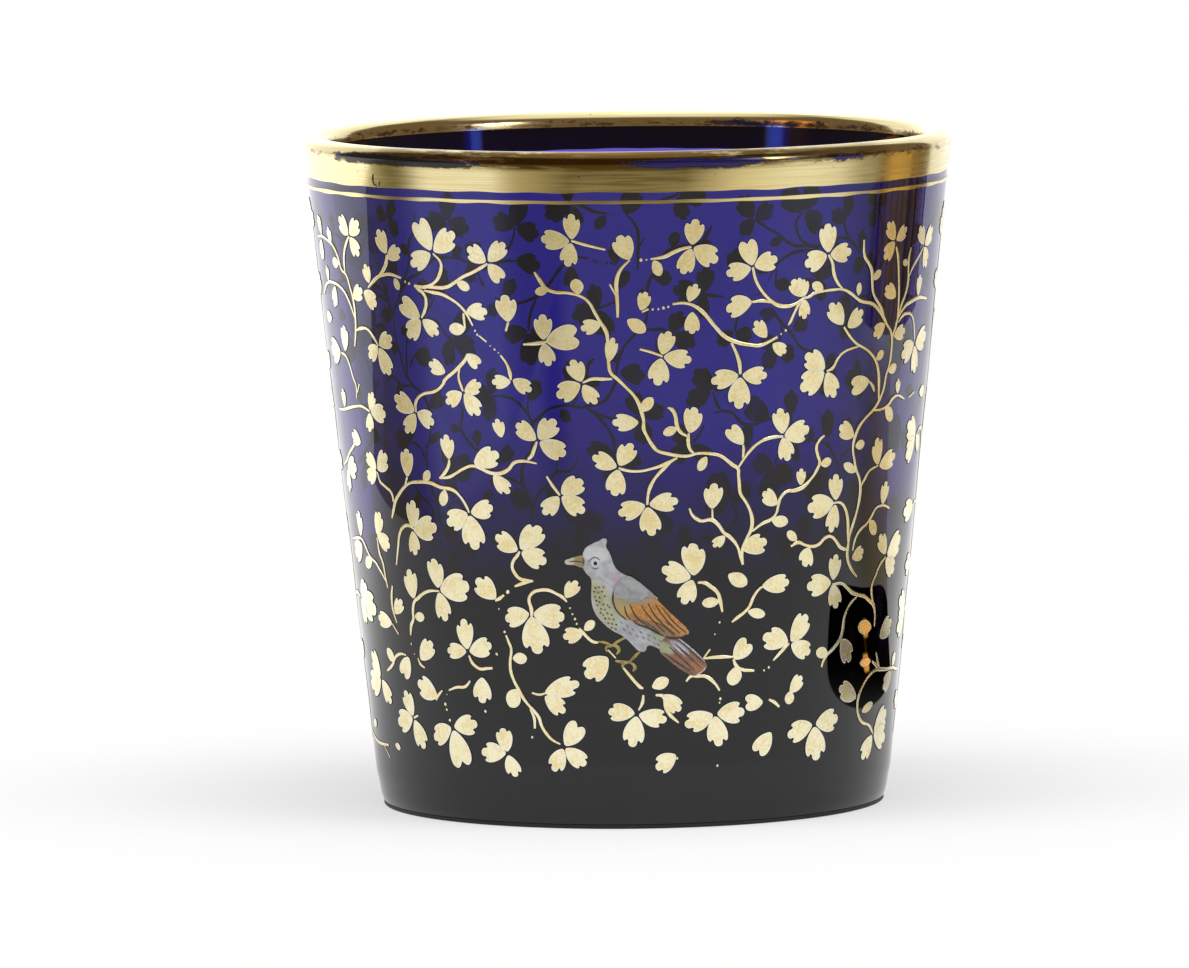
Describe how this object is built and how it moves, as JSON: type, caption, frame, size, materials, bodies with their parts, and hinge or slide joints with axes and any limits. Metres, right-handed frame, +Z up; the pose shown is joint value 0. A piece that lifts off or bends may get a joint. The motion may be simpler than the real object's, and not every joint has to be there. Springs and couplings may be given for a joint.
{
  "type": "glass beaker",
  "caption": "Flared drinking beaker of thick blue glass with a gilt lip, gilt trefoil vines and an enamelled bird perched on a branch.",
  "frame": {"origin": "centre of the ground ring, on the plane that the beaker stands on", "axes": "+Z up along the beaker's axis, -Y towards the bird at the front, +X to the right as the bird is seen"},
  "size_m": [0.0872, 0.0872, 0.0902],
  "materials": {
    "blue_glass": "deep blue glass, polished, darkening to violet black towards the foot",
    "gilding": "fired gold, worn along the lip's shoulder",
    "vine_gilding": "fired gold, pale and finely brushed",
    "plumage_enamel": "opaque grey enamel, fired, with a green-yellow throat",
    "wing_enamel": "opaque orange and grey enamel with dark feather lines",
    "tail_enamel": "opaque red-brown enamel, streaked",
    "horn_enamel": "opaque ochre enamel",
    "pupil_enamel": "opaque black enamel with a white ring"
  },
  "bodies": {
    "root": {"glass_body": "blue_glass", "rim_gilding": "gilding", "gilt_line": "gilding", "left_crown_vine": "vine_gilding", "left_loop_vine": "vine_gilding", "left_mid_vine": "vine_gilding", "left_side_vine": "vine_gilding", "left_side_sprig": "vine_gilding", "left_middle_vine": "vine_gilding", "left_low_vine": "vine_gilding", "left_arch_vine": "vine_gilding", "left_foot_vine": "vine_gilding", "centre_left_vine": "vine_gilding", "perch_arch": "vine_gilding", "perch_branch": "vine_gilding", "right_low_vine": "vine_gilding", "tail_branch": "vine_gilding", "right_lower_vine": "vine_gilding", "foot_sprig": "vine_gilding", "right_foot_trefoil": "vine_gilding", "crown_vine": "vine_gilding", "centre_vine": "vine_gilding", "upper_right_vine": "vine_gilding", "right_vine": "vine_gilding", "left_edge_vine": "vine_gilding", "right_edge_vine": "vine_gilding", "back_crown_vine": "vine_gilding", "back_left_mid_vine": "vine_gilding", "back_left_side_vine": "vine_gilding", "back_left_side_sprig": "vine_gilding", "back_left_foot_vine": "vine_gilding", "back_perch_arch": "vine_gilding", "back_perch_branch": "vine_gilding", "back_tail_branch": "vine_gilding", "back_foot_sprig": "vine_gilding", "back_right_foot_trefoil": "vine_gilding", "back_centre_sprig": "vine_gilding", "bird_body": "plumage_enamel", "bird_wing": "wing_enamel", "bird_tail": "tail_enamel", "bird_beak": "horn_enamel", "bird_eye": "pupil_enamel", "bird_front_foot": "horn_enamel", "bird_rear_foot": "horn_enamel"}
  },
  "joints": []
}
